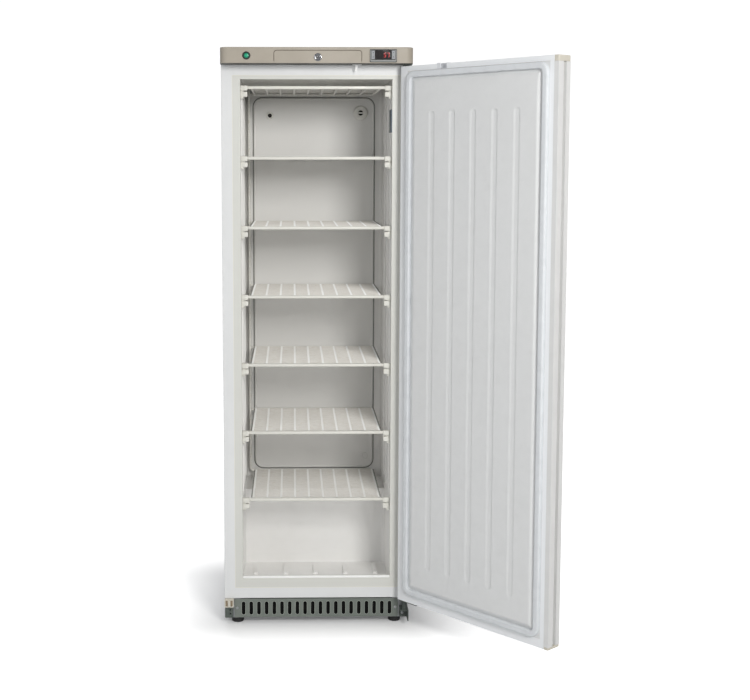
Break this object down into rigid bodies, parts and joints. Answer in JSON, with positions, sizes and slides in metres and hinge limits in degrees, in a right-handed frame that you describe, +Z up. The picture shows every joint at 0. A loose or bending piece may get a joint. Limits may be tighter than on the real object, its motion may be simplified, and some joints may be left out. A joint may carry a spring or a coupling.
{
  "type": "upright freezer",
  "caption": "Free-standing upright freezer with a hinged insulated door, refrigerated tube-and-wire shelves, a control fascia with a lock, levelling feet and rear rollers.",
  "frame": {"origin": "on the floor under the middle of the closed freezer's 600 x 600 mm footprint", "axes": "+Z up, front towards -Y, +X to the right seen from the front"},
  "size_m": [1.0039, 1.0223, 1.86],
  "materials": {
    "white_enamel": "satin white enamel",
    "zinc_steel": "zinc-coated sheet",
    "insulation": "rigid foam, sealed in",
    "liner_plastic": "thermoformed plastic, slightly glossy",
    "shelf_enamel": "white coated tube and wire",
    "shelf_trim": "cream white moulding",
    "fitting_plastic": "pale moulding",
    "fascia_plastic": "warm grey moulding, fine texture",
    "black_plastic": "black moulding",
    "display_filter": "dark clear filter",
    "key_plastic": "silver-grey moulding",
    "green_lens": "translucent green, lit from behind",
    "lock_chrome": "polished plating",
    "hook_enamel": "white enamel",
    "grille_enamel": "grey enamel",
    "foot_plastic": "black moulding",
    "roller_plastic": "dark grey moulding",
    "hinge_steel": "dark enamel",
    "cover_plastic": "cream moulding",
    "handle_plastic": "pale extrusion",
    "gasket_rubber": "soft pale grey seal",
    "bush_plastic": "nylon",
    "compressor_enamel": "black enamel",
    "mount_rubber": "black rubber",
    "drier_copper": "drawn copper",
    "condenser_enamel": "black enamel",
    "screw_steel": "plated"
  },
  "bodies": {
    "cabinet": {"side_panel_left": "white_enamel", "side_panel_right": "white_enamel", "top_cover": "white_enamel", "front_rails": "white_enamel", "back_panel": "zinc_steel", "machine_bay_panel": "zinc_steel", "base_chassis": "zinc_steel", "insulation_foam": "insulation", "inner_liner": "liner_plastic", "evaporator_shelf_1": "shelf_enamel", "evaporator_shelf_2": "shelf_enamel", "evaporator_shelf_3": "shelf_enamel", "evaporator_shelf_4": "shelf_enamel", "evaporator_shelf_5": "shelf_enamel", "evaporator_shelf_6": "shelf_enamel", "evaporator_shelf_7": "shelf_enamel", "riser_tubes": "shelf_enamel", "shelf_wires": "shelf_enamel", "shelf_front_bars": "shelf_trim", "bar_clips": "shelf_trim", "probe_socket": "fitting_plastic", "vent_disc": "fitting_plastic", "control_fascia": "fascia_plastic", "switch_bezel": "black_plastic", "controller_housing": "black_plastic", "relay_box": "black_plastic", "power_inlet": "black_plastic", "display_window": "display_filter", "lock_barrel": "lock_chrome", "hook_guide": "hook_enamel", "lower_grille": "grille_enamel", "hinge_bottom": "hinge_steel", "hinge_top": "hinge_steel", "spare_hinge_plate": "hinge_steel", "spare_hinge_cover": "cover_plastic", "compressor": "compressor_enamel", "compressor_mounts": "mount_rubber", "filter_drier": "drier_copper", "condenser": "condenser_enamel", "condenser_wires": "condenser_enamel", "case_screws": "screw_steel"},
    "door": {"door_skin": "white_enamel", "door_foam": "insulation", "door_liner": "liner_plastic", "door_gasket": "gasket_rubber", "door_handle": "handle_plastic", "door_handle_caps": "cover_plastic", "door_hinge_bushes": "bush_plastic", "door_keeper": "cover_plastic", "door_hinge_plate": "hinge_steel"},
    "switch_button": {"switch_button": "green_lens"},
    "key_left": {"controller_key_left": "key_plastic"},
    "key_right": {"controller_key_right": "key_plastic"},
    "lock_plug": {"lock_plug": "lock_chrome"},
    "lock_bar": {"lock_bar": "zinc_steel"},
    "lock_hook": {"lock_hook": "hook_enamel"},
    "foot_left": {"foot_left": "foot_plastic"},
    "foot_right": {"foot_right": "foot_plastic"},
    "roller_left": {"roller_left": "roller_plastic"},
    "roller_right": {"roller_right": "roller_plastic"}
  },
  "joints": [
    {"name": "door_swing", "type": "hinge", "parent": "cabinet", "child": "door", "pos_m": [0.2865, -0.266, 0.1], "axis": [0, 0, 1], "range_deg": [-131.5, 0]},
    {"name": "switch_push", "type": "slide", "parent": "cabinet", "child": "switch_button", "axis": [0, 1, 0], "range_m": [0, 0.0025], "stiffness_N_per_m": 400},
    {"name": "key_left_rock", "type": "hinge", "parent": "cabinet", "child": "key_left", "pos_m": [0.1745, -0.298, 1.8361], "axis": [1, 0, 0], "range_deg": [-2.5, 2.5], "stiffness_Nm_per_rad": 0.05},
    {"name": "key_right_rock", "type": "hinge", "parent": "cabinet", "child": "key_right", "pos_m": [0.2375, -0.298, 1.8361], "axis": [1, 0, 0], "range_deg": [-2.5, 2.5], "stiffness_Nm_per_rad": 0.05},
    {"name": "lock_turn", "type": "hinge", "parent": "cabinet", "child": "lock_plug", "pos_m": [0.0034, -0.28, 1.829], "axis": [0, -1, 0], "range_deg": [0, 90]},
    {"name": "lock_bar_slide", "type": "slide", "parent": "cabinet", "child": "lock_bar", "axis": [-1, 0, 0], "range_m": [0, 0.0093]},
    {"name": "lock_hook_swing", "type": "hinge", "parent": "cabinet", "child": "lock_hook", "pos_m": [0.127, -0.252, 1.818], "axis": [0, -1, 0], "range_deg": [0, 32]},
    {"name": "foot_left_turn", "type": "hinge", "parent": "cabinet", "child": "foot_left", "pos_m": [-0.258, -0.204, 0.02], "axis": [0, 0, 1], "continuous": true},
    {"name": "foot_right_turn", "type": "hinge", "parent": "cabinet", "child": "foot_right", "pos_m": [0.258, -0.204, 0.02], "axis": [0, 0, 1], "continuous": true},
    {"name": "roller_left_spin", "type": "hinge", "parent": "cabinet", "child": "roller_left", "pos_m": [-0.255, 0.235, 0.018], "axis": [1, 0, 0], "continuous": true},
    {"name": "roller_right_spin", "type": "hinge", "parent": "cabinet", "child": "roller_right", "pos_m": [0.255, 0.235, 0.018], "axis": [1, 0, 0], "continuous": true}
  ],
  "couplings": [
    {"joint": "lock_bar_slide", "follows": "lock_turn", "m_per_rad": 0.0058521},
    {"joint": "lock_hook_swing", "follows": "lock_turn", "ratio": 0.34889}
  ]
}
